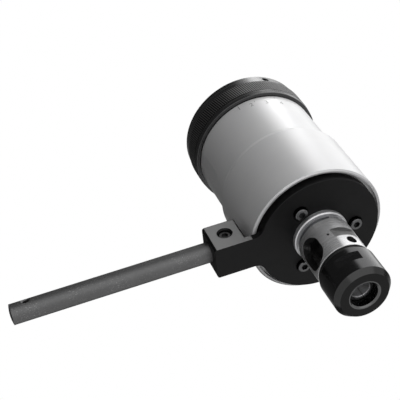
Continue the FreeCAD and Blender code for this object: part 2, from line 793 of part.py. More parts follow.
def stop_rod():
    seat_length = rod_inner_x - arm_end_x - free_gap
    end = seat_length + rod_free_length
    rod = turned([
        (0, 0), (rod_seat_radius - rod_edge, 0), (rod_seat_radius, rod_edge),
        (rod_seat_radius, seat_length), (rod_radius, seat_length),
        (rod_radius, end - rod_dome), (0, end - rod_dome)])
    dome_radius = (rod_radius ** 2 + rod_dome ** 2) / (2 * rod_dome)
    dome = Part.makeSphere(dome_radius, V(0, 0, end - dome_radius))
    rod = rod.fuse(dome.common(disc(rod_radius, end - rod_dome, end + 1))).removeSplitter()
    rod.rotate(ORIGIN, V(0, 1, 0), -90)
    rod.translate(V(arm_end_x + seat_length, rod_y, rod_z))
    hole_x = rod_end_x + rod_hole_inset
    tilt = math.radians(rod_hole_tilt)
    across = V(0, math.cos(tilt), -math.sin(tilt))
    middle = V(hole_x, rod_y, rod_z)
    hole = Part.makeCylinder(rod_hole_radius, 2 * rod_radius + 2,
                             middle - across * (rod_radius + 1), across)
    for side in (-1, 1):
        mouth = Part.makeCone(rod_hole_radius + rod_hole_mouth, rod_hole_radius, rod_hole_mouth,
                              middle + across * (side * rod_radius), across * -side)
        rod = rod.cut(mouth)
    return rod.cut(hole)


def rod_clamp_screw():
    length = arm_half_width - clamp_screw_sink - rod_seat_radius - face_gap
    screw = set_screw(clamp_screw_radius, length, clamp_screw_radius)
    screw.rotate(ORIGIN, V(1, 0, 0), 90)
    screw.translate(V(clamp_screw_x, rod_y + clamp_screw_sink - arm_half_width, rod_z))
    return screw


def carrier_screws():
    """Socket head cap screws that hold the planet pins from the front."""
    screws = []
    seat_z = plate_front_z + cap_head_sink
    front_z = seat_z - cap_head_height
    for angle in planet_angles():
        screw = turned([
            (0, front_z), (cap_head_radius - cap_head_edge, front_z),
            (cap_head_radius, front_z + cap_head_edge),
            (cap_head_radius, seat_z), (cap_thread_radius, seat_z),
            (cap_thread_radius, seat_z + cap_grip_length), (0, seat_z + cap_grip_length)])
        screw = screw.cut(hexagon(cap_key_flats, front_z - 1, front_z + cap_key_depth))
        screw.translate(direction(angle) * pin_circle)
        screws.append(screw)
    return Part.makeCompound(screws)


def planet_pin(angle):
    """Stepped pin, screwed to the stop plate, that carries one planet and the carrier plate."""
    plate_z = gear_high_z + key_clearance
    groove_z = plate_z + carrier_plate_thickness + face_gap
    groove_top_z = groove_z + clip_thickness + face_gap
    groove_radius = pin_tip_radius - clip_groove_depth
    shoulder_radius = pin_base_radius + pin_shoulder_step
    pin = turned([
        (0, pin_low_z), (pin_base_radius, pin_low_z), (pin_base_radius, boss_top_z),
        (shoulder_radius, boss_top_z), (shoulder_radius, gear_low_z - face_gap),
        (pin_radius, gear_low_z - face_gap), (pin_radius, plate_z), (pin_tip_radius, plate_z),
        (pin_tip_radius, groove_z), (groove_radius, groove_z), (groove_radius, groove_top_z),
        (pin_tip_radius, groove_top_z), (pin_tip_radius, groove_top_z + pin_tip_step),
        (0, groove_top_z + pin_tip_step)])
    screw_end_z = plate_front_z + cap_head_sink + cap_grip_length + free_gap
    pin = pin.cut(disc(cap_thread_radius + seat_gap, pin_low_z - 1, screw_end_z))
    pin.translate(direction(angle) * pin_circle)
    return pin


def planet_gear(angle):
    gear = spur_gear(planet_teeth, planet_phase(angle), gear_low_z, gear_high_z)
    gear = gear.cut(disc(pin_radius + running_gap, gear_low_z - 1, gear_high_z + 1))
    gear.translate(direction(angle) * pin_circle)
    return gear


def carrier_plate():
    """Ties the upper ends of the planet pins and keeps the sun gear down."""
    low_z = gear_high_z + key_clearance
    high_z = low_z + carrier_plate_thickness
    plate = washer(dog_outer_radius + 2 * key_clearance, pin_circle + carrier_plate_rim,
                   low_z, high_z)
    for angle in planet_angles():
        x_y = direction(angle) * pin_circle
        plate = plate.cut(disc(pin_tip_radius + seat_gap, low_z - 1, high_z + 1, x_y.x, x_y.y))
    return plate


def pin_clips():
    clips = []
    low_z = gear_high_z + key_clearance + carrier_plate_thickness + 1.5 * face_gap
    for angle in planet_angles():
        x_y = direction(angle) * pin_circle
        clip = washer(pin_tip_radius - clip_groove_depth + seat_gap, pin_radius + clip_reach,
                      low_z, low_z + clip_thickness)
        clip = clip.cut(Part.makeBox(2 * pin_radius, pin_tip_radius, 2 * clip_thickness,
                                     V(0, -pin_tip_radius / 2, low_z - clip_thickness / 2)))
        clip.translate(V(x_y.x, x_y.y, 0))
        clips.append(clip)
    return Part.makeCompound(clips)


def bush_radius():
    return dog_inner_radius - key_clearance


def reversing_gear():
    """Sun gear with a hub and driving dogs, free on its bush."""
    gear = spur_gear(sun_teeth, 0, gear_low_z, gear_high_z)
    hub = disc(dog_outer_radius, gear_high_z, hub_top_z)
    gear = gear.fuse([hub] + dogs(hub_top_z, 0)).removeSplitter()
    return gear.cut(disc(bush_radius(), gear_low_z - 1, hub_top_z + dog_height + 1))


def sun_bush():
    return washer(journal_radius + running_gap, bush_radius() - seat_gap, gear_low_z, hub_top_z)


def sun_washer():
    return washer(neck_radius + free_gap, sun_pitch, boss_top_z, gear_low_z - face_gap)


def float_sleeve():
    """Steel sleeve that slides in the stop plate; the spindle turns inside it."""
    inner = neck_radius + running_gap
    return turned([
        (inner, sleeve_low_z), (sleeve_radius - sleeve_edge, sleeve_low_z),
        (sleeve_radius, sleeve_low_z + sleeve_edge), (sleeve_radius, sleeve_top_z - sleeve_edge),
        (sleeve_radius - sleeve_edge, sleeve_top_z), (inner, sleeve_top_z)])


def snap_ring_heights():
    return sleeve_low_z - face_gap - snap_ring_thickness, sleeve_top_z + face_gap


def collet_top_radius():
    """Radius of the collet's cone at the collet's upper end."""
    slope = math.tan(math.radians(collet_angle))
    return collet_low_radius - slope * (collet_top_z - spindle_end_z)


def tap_spindle():
    """Output spindle: collet seat and jaw windows in the nose, dog collar seat above."""
    seat_top_radius = collet_top_radius()
    tail_low_z = collar_top_z + face_gap + collar_nut_height + spindle_edge
    blank = turned([
        (collet_low_radius, spindle_end_z), (nose_thread_radius - thread_edge, spindle_end_z),
        (nose_thread_radius, spindle_end_z + thread_edge),
        (nose_thread_radius, thread_top_z - 2 * thread_edge),
        (nose_thread_radius - thread_edge, thread_top_z - 1.5 * thread_edge),
        (nose_thread_radius - thread_edge, thread_top_z),
        (groove_radius, thread_top_z), (groove_radius, nose_low_z),
        (nose_radius - spindle_edge, nose_low_z), (nose_radius, nose_low_z + spindle_edge),
        (nose_radius, nose_top_z - 3 * spindle_edge), (nose_radius - 3 * spindle_edge, nose_top_z),
        (neck_radius, nose_top_z), (neck_radius, neck_top_z), (journal_radius, neck_top_z),
        (journal_radius, collar_low_z), (collar_seat_radius, collar_low_z),
        (collar_seat_radius, tail_low_z), (tail_radius, tail_low_z),
        (tail_radius, tail_top_z - 1), (tail_radius - 1, tail_top_z), (0, tail_top_z),
        (0, jaw_cavity_top_z), (jaw_cavity_radius, jaw_cavity_top_z),
        (jaw_cavity_radius, jaw_cavity_low_z), (seat_top_radius, jaw_cavity_low_z),
        (seat_top_radius, collet_top_z)])
    for low_z in snap_ring_heights():
        blank = blank.cut(washer(neck_radius - snap_groove_depth, neck_radius + 1,
                                 low_z, low_z + snap_ring_thickness))
    half_width = window_width / 2
    inner = jaw_cavity_radius - window_reach
    outer = nose_radius + window_reach
    for side in (0, 180):
        angle = window_angle + side
        window = radial_box(angle, inner, outer, window_width,
                            window_low_z + half_width, window_top_z - half_width)
        low_end = radial_pin(half_width, angle, window_low_z + half_width, inner, outer)
        top_end = radial_pin(half_width, angle, window_top_z - half_width, inner, outer)
        blank = blank.cut(window.fuse([low_end, top_end]).removeSplitter())
        blank = blank.cut(radial_box(jaw_screw_angle + side, nose_radius - flat_depth,
                                     outer, 2 * nose_radius, spindle_flat_low_z,
                                     spindle_flat_low_z + flat_height))
        blank = blank.cut(radial_pin(jaw_screw_radius, jaw_screw_angle + side, jaw_screw_z,
                                     inner, outer))
    blank = blank.cut(radial_pin(oil_hole_radius, oil_hole_angle, oil_hole_z,
                                 nose_radius - oil_hole_depth, outer))
    return blank.cut(key_block(0.0))


def key_block(gap):
    """The collar's key, smaller than its pocket in the spindle by gap."""
    inner = collar_seat_radius - collar_key_depth
    return radial_box(collar_key_angle, inner + gap, collar_seat_radius + collar_key_rise,
                      collar_key_width - 2 * gap, collar_low_z + 1, collar_top_z - 1)


def dog_collar():
    """Driven half of both dog clutches, keyed to the spindle."""
    collar = disc(dog_outer_radius, collar_low_z, collar_top_z)
    first = 180 / dog_count
    teeth = dogs(collar_low_z - dog_height, first) + dogs(collar_top_z, first)
    collar = collar.fuse(teeth).removeSplitter()
    collar = collar.cut(disc(collar_seat_radius + seat_gap, collar_low_z - 1, collar_top_z + 1))
    return collar.cut(radial_box(collar_key_angle, collar_seat_radius - 1,
                                 collar_seat_radius + collar_key_rise + seat_gap,
                                 collar_key_width + 2 * seat_gap, collar_low_z - 1,
                                 collar_top_z + 1))


def collar_nut():
    """Slotted ring nut that holds the collar on its seat."""
    low_z = collar_top_z + face_gap
    high_z = low_z + collar_nut_height
    outer = driver_bore - free_gap
    nut = washer(collar_seat_radius + seat_gap, outer, low_z, high_z)
    for side in (0, 180):
        nut = nut.cut(radial_box(side, outer - 0.8, outer + 1, driver_bore_step * 6,
                                 low_z - 1, high_z + 1))
    return nut


def snap_ring(low_z, gap_middle):
    return circlip(neck_radius - snap_groove_depth + seat_gap, snap_ring_radius, low_z,
                   24, gap_middle)


def collet():
    """Slit cone that grips the tap shank."""
    head_z = spindle_end_z - collet_head_step
    head_low_z = spindle_end_z - collet_head_height
    body = turned([
        (collet_bore_radius, collet_top_z), (collet_top_radius() - seat_gap, collet_top_z),
        (collet_low_radius - seat_gap, spindle_end_z),
        (collet_head_radius, head_z), (collet_head_radius, head_low_z),
        (collet_face_radius, collet_face_z + collet_snout_height),
        (collet_face_radius, collet_face_z), (collet_bore_radius + collet_mouth, collet_face_z),
        (collet_bore_radius, collet_face_z + collet_mouth)])
    step = 360 / slit_count
    bridge = collet_snout - collet_head_height
    for i in range(slit_count):
        angle = slit_angle + step * i
        body = body.cut(radial_box(angle, 0, collet_head_radius + 2, slit_width,
                                   collet_face_z - 1, collet_top_z - bridge))
        body = body.cut(radial_box(angle + step / 2, 0, collet_head_radius + 2, slit_width,
                                   collet_face_z + bridge, collet_top_z + 1))
    return body


def collet_nut():
    """Black closing nut with two spanner flats and a cone that pushes the collet home."""
    bore = nose_thread_radius + running_gap
    rear_z = thread_top_z - key_clearance
    head_bore = collet_head_radius + key_clearance
    seat_z = spindle_end_z - collet_head_height
    nut = turned([
        (bore, rear_z), (nut_radius - nut_edge, rear_z), (nut_radius, rear_z - nut_edge),
        (nut_radius, nut_face_z + nut_cone_height), (nut_radius - nut_cone_step, nut_face_z),
        (nut_mouth_radius + nut_mouth_chamfer, nut_face_z),
        (nut_mouth_radius, nut_face_z + nut_mouth_chamfer),
        (nut_mouth_radius, collet_face_z + collet_snout_height), (head_bore, seat_z - key_clearance),
        (head_bore, spindle_end_z - key_clearance), (bore, spindle_end_z - key_clearance)])
    for side in (0, 180):
        nut = nut.cut(radial_box(nut_flat_angle + side, nut_radius - nut_flat_depth,
                                 nut_radius + 2, 2 * nut_radius, nut_face_z + nut_flat_rise,
                                 nut_face_z + nut_flat_rise + nut_flat_height))
    return nut


def tap_jaw(angle):
    """Jaw that holds one flat of the tap's square."""
    jaw = radial_box(angle, jaw_inner, jaw_outer, 2 * jaw_half_width, jaw_low_z, jaw_top_z)
    return jaw.cut(radial_pin(jaw_screw_radius * 0.5, angle, jaw_screw_z, jaw_outer - 1.5,
                              jaw_outer + 1))


def jaw_screw(angle):
    length = jaw_screw_outer - jaw_outer
    screw = set_screw(jaw_screw_radius - running_gap, length, jaw_screw_radius)
    return aim(screw, angle, jaw_screw_z, jaw_screw_outer)


def float_spring():
    """Flat-wire coil spring between the spindle tail and the drive sleeve."""
    outer = tail_radius - spring_rim_gap
    inner = outer - spring_wire_width
    low_z = tail_top_z + face_gap
    height = spring_bore_top_z - face_gap - spring_wire_height - low_z
    path = Part.makeHelix(height / spring_turns, height, outer)
    corners = [V(inner, 0, 0), V(outer, 0, 0), V(outer, 0, spring_wire_height),
               V(inner, 0, spring_wire_height)]
    section = Part.makePolygon(corners + [corners[0]])
    spring = Part.Wire(path).makePipeShell([section], True, True)
    spring.translate(V(0, 0, low_z))
    return spring


def place(name, shape):
    """Moves a piece from the rim's frame to the socket's frame and saves it."""
    shape.translate(V(0, 0, -socket_mouth_z))
    shape.exportStep("parts/" + name + ".step")


def main():
    os.makedirs("parts", exist_ok=True)
    low_inner, low_outer, low_rollers = bearing(
        boss_radius + seat_gap, gear_bore_radius - seat_gap, lower_bearing_low_z,
        lower_bearing_height, lower_roller_count)
    top_inner, top_outer, top_rollers = bearing(
        drive_radius + seat_gap, drive_bearing_outer, drive_bearing_low_z,
        drive_bearing_height, drive_roller_count)
    low_race, needle_cage, top_race = thrust_bearing()
    low_snap_z, top_snap_z = snap_ring_heights()
    pieces = {
        "drive_sleeve": drive_sleeve(),
        "clutch_flange": keyed_plate(inner_disc_radius, drive_flange_low_z, drive_flange_top_z),
        "pressure_plate": keyed_plate(inner_disc_radius, plate_low_z,
                                      plate_low_z + pressure_plate_thickness),
        "thrust_sleeve": thrust_sleeve(),
        "thrust_race_lower": low_race,
        "thrust_needle_cage": needle_cage,
        "thrust_race_upper": top_race,
        "housing": housing(),
        "adjusting_ring": adjusting_ring(),
        "ring_lock_screw": ring_lock_screw(),
        "ring_gear": ring_gear(),
        "forward_driver": forward_driver(),
        "driver_screws": driver_screws(),
        "housing_circlip": circlip(gear_bore_radius - housing_clip_reach,
                                   gear_bore_radius + snap_groove_depth - seat_gap,
                                   housing_clip_z, 20, 90),
        "lower_bearing_inner_race": low_inner,
        "lower_bearing_outer_race": low_outer,
        "lower_bearing_rollers": low_rollers,
        "drive_bearing_inner_race": top_inner,
        "drive_bearing_outer_race": top_outer,
        "drive_bearing_rollers": top_rollers,
        "stop_plate": stop_plate(),
        "stop_rod": stop_rod(),
        "rod_clamp_screw": rod_clamp_screw(),
        "carrier_screws": carrier_screws(),
        "carrier_plate": carrier_plate(),
        "pin_clips": pin_clips(),
        "reversing_gear": reversing_gear(),
        "sun_bush": sun_bush(),
        "sun_washer": sun_washer(),
        "float_sleeve": float_sleeve(),
        "tap_spindle": tap_spindle(),
        "dog_collar": dog_collar(),
        "collar_key": key_block(seat_gap),
        "collar_nut": collar_nut(),
        "snap_ring_lower": snap_ring(low_snap_z, lower_snap_gap_angle),
        "snap_ring_upper": snap_ring(top_snap_z, upper_snap_gap_angle),
        "float_spring": float_spring(),
        "collet": collet(),
        "collet_nut": collet_nut(),
    }
    for i in range(disc_pairs):
        pieces["outer_disc_" + str(i + 1)] = outer_disc(i)
        pieces["inner_disc_" + str(i + 1)] = inner_disc(i)
    for i in range(2):
        pieces["disc_spring_" + str(i + 1)] = disc_spring(i)
        pieces["tap_jaw_" + str(i + 1)] = tap_jaw(jaw_screw_angle + 180 * i)
        pieces["jaw_screw_" + str(i + 1)] = jaw_screw(jaw_screw_angle + 180 * i)
    for i, angle in enumerate(planet_angles()):
        pieces["planet_pin_" + str(i + 1)] = planet_pin(angle)
        pieces["planet_gear_" + str(i + 1)] = planet_gear(angle)
    for name, shape in pieces.items():
        place(name, shape)


main()
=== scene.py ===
# %% [markdown]
# The frame comes first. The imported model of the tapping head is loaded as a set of
# fixed pieces, one Blender object for each named part. Heights and radii below start
# from those pieces, so the looks follow the model when it changes.

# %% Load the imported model
import bmesh
import bpy
import json
import math
import numpy as np
from mathutils import Matrix, Vector


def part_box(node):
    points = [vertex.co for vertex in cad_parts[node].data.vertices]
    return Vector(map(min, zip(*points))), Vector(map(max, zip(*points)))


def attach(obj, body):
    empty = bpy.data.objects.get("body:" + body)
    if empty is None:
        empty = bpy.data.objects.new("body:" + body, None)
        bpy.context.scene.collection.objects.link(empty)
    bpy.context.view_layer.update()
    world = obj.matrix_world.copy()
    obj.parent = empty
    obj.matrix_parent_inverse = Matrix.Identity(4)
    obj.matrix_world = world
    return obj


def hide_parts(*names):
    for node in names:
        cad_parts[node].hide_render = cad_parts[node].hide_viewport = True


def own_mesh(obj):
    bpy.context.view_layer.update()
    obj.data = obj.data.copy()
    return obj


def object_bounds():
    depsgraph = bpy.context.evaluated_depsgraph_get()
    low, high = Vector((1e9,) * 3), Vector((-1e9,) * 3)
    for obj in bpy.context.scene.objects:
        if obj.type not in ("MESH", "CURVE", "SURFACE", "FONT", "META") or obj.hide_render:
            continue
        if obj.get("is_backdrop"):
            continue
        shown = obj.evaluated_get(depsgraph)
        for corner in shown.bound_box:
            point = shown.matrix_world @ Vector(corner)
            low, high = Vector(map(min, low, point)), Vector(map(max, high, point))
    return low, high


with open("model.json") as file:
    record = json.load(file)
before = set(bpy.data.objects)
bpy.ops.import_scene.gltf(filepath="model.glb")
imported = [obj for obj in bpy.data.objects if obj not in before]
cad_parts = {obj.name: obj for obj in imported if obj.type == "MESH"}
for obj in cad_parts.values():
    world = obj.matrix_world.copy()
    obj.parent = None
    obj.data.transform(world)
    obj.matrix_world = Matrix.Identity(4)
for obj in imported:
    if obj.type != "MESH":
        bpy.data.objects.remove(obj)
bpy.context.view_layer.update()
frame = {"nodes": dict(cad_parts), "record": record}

# %% [markdown]
# Two things help to read the script. The frame is in metres, while a machinist thinks
# in millimetres, so a length is written as a number times MM. And most of this object
# is turned about the spindle axis, the line x = y = 0, so the distance of a point from
# that line is a radius.

# %% Units and places taken from the frame
MM = 0.001
ring_low, ring_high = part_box("adjusting_ring")
nut_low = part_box("collet_nut")[0]
ring_radius = ring_high.y
print("ring radius mm:", round(ring_radius / MM, 2), "nut face mm:", round(nut_low.z / MM, 2))

# %% [markdown]
# A material in Blender is a small graph of nodes, and a script that wires many nodes by
# hand is hard to read. These helpers keep the graphs short: one makes an empty material,
# one adds a node, one does arithmetic on sockets, one stretches a value onto a range,
# and one blends two colours.

# %% Helpers for material graphs
def grey(value):
    """A colour with the same amount of red, green and blue."""
    return (value, value, value)


def new_material(name):
    """Empty material with one Principled shader wired to its output."""
    material = bpy.data.materials.new(name)
    material.use_nodes = True
    return material, material.node_tree, material.node_tree.nodes["Principled BSDF"]


def add_node(tree, kind, **settings):
    """New node of this kind; each setting is a property of the node, given by name."""
    node = tree.nodes.new(kind)
    for key, value in settings.items():
        setattr(node, key, value)
    return node


def arithmetic(tree, operation, first, second=None):
    """Math node; each input is a socket or a plain number."""
    node = add_node(tree, "ShaderNodeMath", operation=operation)
    for socket, value in zip(node.inputs, (first, second)):
        if value is None:
            continue
        if hasattr(value, "is_linked"):
            tree.links.new(value, socket)
        else:
            socket.default_value = value
    return node.outputs[0]


def spread(tree, value, low, high, from_low=0.3, from_high=0.7):
    """Maps from_low to from_high onto low to high, in a straight line and clipped."""
    node = add_node(tree, "ShaderNodeMapRange")
    tree.links.new(value, node.inputs["Value"])
    for key, number in (("From Min", from_low), ("From Max", from_high),
                        ("To Min", low), ("To Max", high)):
        node.inputs[key].default_value = number
    return node.outputs["Result"]


def blend_colours(tree, factor, first, second):
    """Colour = first x (1 - factor) + second x factor; each is a colour or a socket."""
    node = add_node(tree, "ShaderNodeMix", data_type="RGBA")
    tree.links.new(factor, node.inputs["Factor"])
    for socket, value in zip((node.inputs[6], node.inputs[7]), (first, second)):
        if hasattr(value, "is_linked"):
            tree.links.new(value, socket)
        else:
            socket.default_value = (*value, 1.0)
    return node.outputs[2]


print("graph helpers are ready")

# %% [markdown]
# The patterns start from the object's own coordinates, so they stay on a piece when it
# moves. A lathe leaves fine lines round the axis. They are noise along one number, and
# for a turned piece that number is height plus radius, so the lines run round the axis
# both on a cylinder and on a flat face. Noise in all three directions gives clouds and
# specks.

# %% Helpers for lathe lines, clouds and specks
def object_axes(tree):
    """Object coordinates as three separate sockets x, y and z."""
    place = add_node(tree, "ShaderNodeTexCoord")
    split = add_node(tree, "ShaderNodeSeparateXYZ")
    tree.links.new(place.outputs["Object"], split.inputs[0])
    return split.outputs


def radius_of(tree, axes):
    """Distance from the spindle axis: the root of x squared plus y squared."""
    squares = arithmetic(tree, "ADD", arithmetic(tree, "MULTIPLY", axes[0], axes[0]),
                         arithmetic(tree, "MULTIPLY", axes[1], axes[1]))
    return arithmetic(tree, "SQRT", squares)


def along_the_turning(tree):
    """Height plus radius, which changes along a cylinder and across a face alike."""
    axes = object_axes(tree)
    return arithmetic(tree, "ADD", axes[2], radius_of(tree, axes))


def noise_along(tree, position, pitch):
    """Noise of position / pitch, so the lines lie about one pitch apart."""
    node = add_node(tree, "ShaderNodeTexNoise", noise_dimensions="1D")
    node.inputs["Scale"].default_value = 1.0
    node.inputs["Detail"].default_value = 3.0
    tree.links.new(arithmetic(tree, "DIVIDE", position, pitch), node.inputs["W"])
    return node.outputs["Fac"]


def noise_in_space(tree, grain, detail=3.0):
    """Noise in all three directions, with patches about one grain across."""
    node = add_node(tree, "ShaderNodeTexNoise")
    place = add_node(tree, "ShaderNodeTexCoord")
    node.inputs["Scale"].default_value = 1.0 / grain
    node.inputs["Detail"].default_value = detail
    tree.links.new(place.outputs["Object"], node.inputs["Vector"])
    return node.outputs["Fac"]


def add_bump(tree, shader, height, distance, strength=0.4):
    """Tilts the shading as if height, from 0 to 1, raised the surface by distance."""
    bump = add_node(tree, "ShaderNodeBump")
    bump.inputs["Strength"].default_value = strength
    bump.inputs["Distance"].default_value = distance
    tree.links.new(height, bump.inputs["Height"])
    tree.links.new(bump.outputs["Normal"], shader.inputs["Normal"])


print("pattern helpers are ready")

# %% [markdown]
# The housing is turned from aluminium bar and left satin: pale from everywhere, with
# soft edges to every reflection. A fully metallic shader only mirrors the room, which is
# dim on one side, so here the metallic share is low. Most light comes back in all
# directions and a small part is mirrored. The lathe lines shift the roughness a little
# from line to line, as they do on the real one.

# %% Satin aluminium
def satin_aluminium():
    """Clouds choose the tone between two greys, and lathe lines choose the roughness."""
    material, tree, shader = new_material("satin_aluminium")
    lines = noise_along(tree, along_the_turning(tree), pitch=0.35 * MM)
    clouds = noise_in_space(tree, grain=22 * MM)
    tone = blend_colours(tree, clouds, (0.77, 0.77, 0.78), grey(0.83))
    tree.links.new(tone, shader.inputs["Base Color"])
    shader.inputs["Metallic"].default_value = 0.2
    tree.links.new(spread(tree, lines, low=0.30, high=0.42), shader.inputs["Roughness"])
    add_bump(tree, shader, lines, distance=0.004 * MM)
    return material


materials = {"satin_aluminium": satin_aluminium()}
print("finishes:", list(materials))

# %% [markdown]
# The ring, the stop plate, the rod, the nut and two screws are blackened steel. The
# oxide is a thin dark skin on ground metal, so it still mirrors a bright window faintly
# and goes almost black where it faces nothing bright. One recipe serves them all, each
# with its own tone and grain: lathe lines for turned pieces, lines across the length
# for the rod, and small pale specks where its skin is worn.

# %% Black oxide on steel
WORN = grey(0.30)
SPECK_SIZE = 0.7 * MM
SPECK_PATCHES = 30 * MM
OXIDE_SHADE = 0.82
OXIDE_STREAK = 0.05


def worn_specks(tree, amount):
    """Dots x patches x amount: small dots that show only inside larger patches."""
    dots = noise_in_space(tree, SPECK_SIZE, detail=1.0)
    patches = noise_in_space(tree, SPECK_PATCHES, detail=2.0)
    return arithmetic(tree, "MULTIPLY", spread(tree, dots, 0.0, 1.0, 0.62, 0.72),
                      spread(tree, patches, 0.0, amount, 0.45, 0.62))


def black_oxide(name, tone, roughness, grain="turned", specks=0.0, metallic=1.0):
    """Clouds choose between tone and shade x tone; lines shift the roughness by a streak."""
    material, tree, shader = new_material(name)
    position = along_the_turning(tree) if grain == "turned" else object_axes(tree)[0]
    lines = noise_along(tree, position, pitch=0.3 * MM)
    clouds = noise_in_space(tree, grain=9 * MM)
    colour = blend_colours(tree, clouds, tuple(part * OXIDE_SHADE for part in tone), tone)
    if specks:
        colour = blend_colours(tree, worn_specks(tree, specks), colour, WORN)
    tree.links.new(colour, shader.inputs["Base Color"])
    shader.inputs["Metallic"].default_value = metallic
    tree.links.new(spread(tree, lines, roughness - OXIDE_STREAK, roughness + OXIDE_STREAK),
                   shader.inputs["Roughness"])
    add_bump(tree, shader, lines, distance=0.003 * MM)
    return material


materials["black_ring"] = black_oxide("black_ring", (0.06, 0.06, 0.061), 0.26, metallic=0.6)
materials["black_rod"] = black_oxide("black_rod", (0.125, 0.125, 0.126), 0.50,
                                     grain="along", specks=0.8)
materials["black_screw"] = black_oxide("black_screw", grey(0.09), 0.32)
print("finishes:", list(materials))

# %% [markdown]
# Some pieces carry more than one colour on one solid. The nut is black, but its cone, its
# face and its mouth are painted darker: painted shade. The spindle is bright outside,
# while its bore is painted dark: painted shade in the hollow. A place on the piece tells
# them apart: closer to the axis than a given radius, or lower than a given height. Such a
# place becomes a mask of ones and zeros, and the mask chooses between the two colours.

# %% Two colours on one piece
def mask_inside(tree, radius, below=None, away=None):
    """One where the surface lies within radius of the axis and below a height, else zero.

    away is a sideways direction in degrees and a distance: only the places further
    than that from the axis along the direction count, on either side."""
    axes = object_axes(tree)
    mask = arithmetic(tree, "LESS_THAN", radius_of(tree, axes), radius)
    if below is not None:
        lower = arithmetic(tree, "LESS_THAN", axes[2], below)
        mask = arithmetic(tree, "MULTIPLY", mask, lower)
    if away is not None:
        angle, distance = math.radians(away[0]), away[1]
        along = arithmetic(tree, "ADD", arithmetic(tree, "MULTIPLY", axes[0], math.cos(angle)),
                           arithmetic(tree, "MULTIPLY", axes[1], math.sin(angle)))
        far = arithmetic(tree, "GREATER_THAN", arithmetic(tree, "ABSOLUTE", along), distance)
        mask = arithmetic(tree, "MULTIPLY", mask, far)
    return mask


def recolour(material, colour, mask):
    """Gives the part of a piece where the mask is one its own colour."""
    tree = material.node_tree
    base = tree.nodes["Principled BSDF"].inputs["Base Color"]
    tree.links.new(blend_colours(tree, mask, base.links[0].from_socket, colour), base)
    return material


def recolour_inside(material, colour, radius, below=None, away=None):
    """Gives the places that mask_inside picks their own colour."""
    return recolour(material, colour, mask_inside(material.node_tree, radius, below, away))


print("mask helpers are ready")

# %% [markdown]
# The stop plate and the nut are the first to use the masks. The top of the plate's
# block is painted paler than the rest: painted light on the face that the light falls on.
# The nut is painted darker on its cone and nearly black on its flat face and in its
# mouth, all painted shade, and the lip of its mouth is a little paler: a painted
# highlight. Each colour is laid over the ones before it, so their order matters: the lip
# comes last, over the mouth and the face. Where the height alone decides, the mask takes
# the ring's radius, which is wider than the nut.

# %% Black plate and black nut
BLOCK_TOP_Y = -15.65 * MM
NUT_CONE_TOP = nut_low.z + 4.3 * MM
NUT_FACE_TOP = nut_low.z + 0.1 * MM
NUT_LIP_TOP = nut_low.z + 1.65 * MM
NUT_MOUTH_RADIUS = 11.3 * MM
NUT_LIP_RADIUS = 12.75 * MM
WHOLE_WIDTH = ring_radius


def black_plate():
    """Painted light: the top of the block, its -Y face further out along -X than the ring, is
    painted paler.
    """
    plate = black_oxide("black_plate", (0.017, 0.017, 0.0172), 0.54)
    tree = plate.node_tree
    axes = object_axes(tree)
    top = arithmetic(tree, "MULTIPLY", arithmetic(tree, "LESS_THAN", axes[1], BLOCK_TOP_Y),
                     arithmetic(tree, "LESS_THAN", axes[0], -ring_radius))
    return recolour(plate, grey(0.26), top)


def black_nut():
    """Four masks over the black: painted shade on the cone, the flat face and the mouth, and a
    painted highlight on the lip of the mouth.
    """
    nut = black_oxide("black_nut", (0.09, 0.09, 0.091), 0.20)
    # Painted shade on the cone, the face and the mouth, then a painted highlight on the lip.
    recolour_inside(nut, grey(0.04), WHOLE_WIDTH, NUT_CONE_TOP)
    recolour_inside(nut, grey(0.014), WHOLE_WIDTH, NUT_FACE_TOP)
    recolour_inside(nut, grey(0.03), NUT_MOUTH_RADIUS)
    return recolour_inside(nut, grey(0.10), NUT_LIP_RADIUS, NUT_LIP_TOP)


materials["black_plate"] = black_plate()
materials["black_nut"] = black_nut()
print("finishes:", list(materials))

# %% [markdown]
# Bright steel covers the spindle, the cap screws, the collet and the races. They differ
# in polish, so one function takes a tone and a roughness, and bronze and the clutch
# lining use it too. A ground shaft also spreads each reflection up and down, across its
# fine lines. That is anisotropy: the tangent runs round the Z axis, and a quarter turn
# makes the spread run up and down.

# %% Bright metals
BRIGHT_SHADE = 0.9
SMOOTH_LINE, ROUGH_LINE = 0.8, 1.25


def bright_metal(name, tone, roughness, metallic=1.0):
    """Clouds choose between tone and shade x tone; lines scale the roughness."""
    material, tree, shader = new_material(name)
    lines = noise_along(tree, along_the_turning(tree), pitch=0.25 * MM)
    clouds = noise_in_space(tree, grain=6 * MM)
    colour = blend_colours(tree, clouds, tuple(part * BRIGHT_SHADE for part in tone), tone)
    tree.links.new(colour, shader.inputs["Base Color"])
    shader.inputs["Metallic"].default_value = metallic
    tree.links.new(spread(tree, lines, roughness * SMOOTH_LINE, roughness * ROUGH_LINE),
                   shader.inputs["Roughness"])
    add_bump(tree, shader, lines, distance=0.002 * MM)
    return material


def brushed_round(material, amount=0.8):
    """Spreads each reflection up and down, as the fine lines round a ground shaft do."""
    tree = material.node_tree
    shader = tree.nodes["Principled BSDF"]
    around = add_node(tree, "ShaderNodeTangent", direction_type="RADIAL", axis="Z")
    tree.links.new(around.outputs[0], shader.inputs["Tangent"])
    shader.inputs["Anisotropic"].default_value = amount
    shader.inputs["Anisotropic Rotation"].default_value = 0.25
    return material


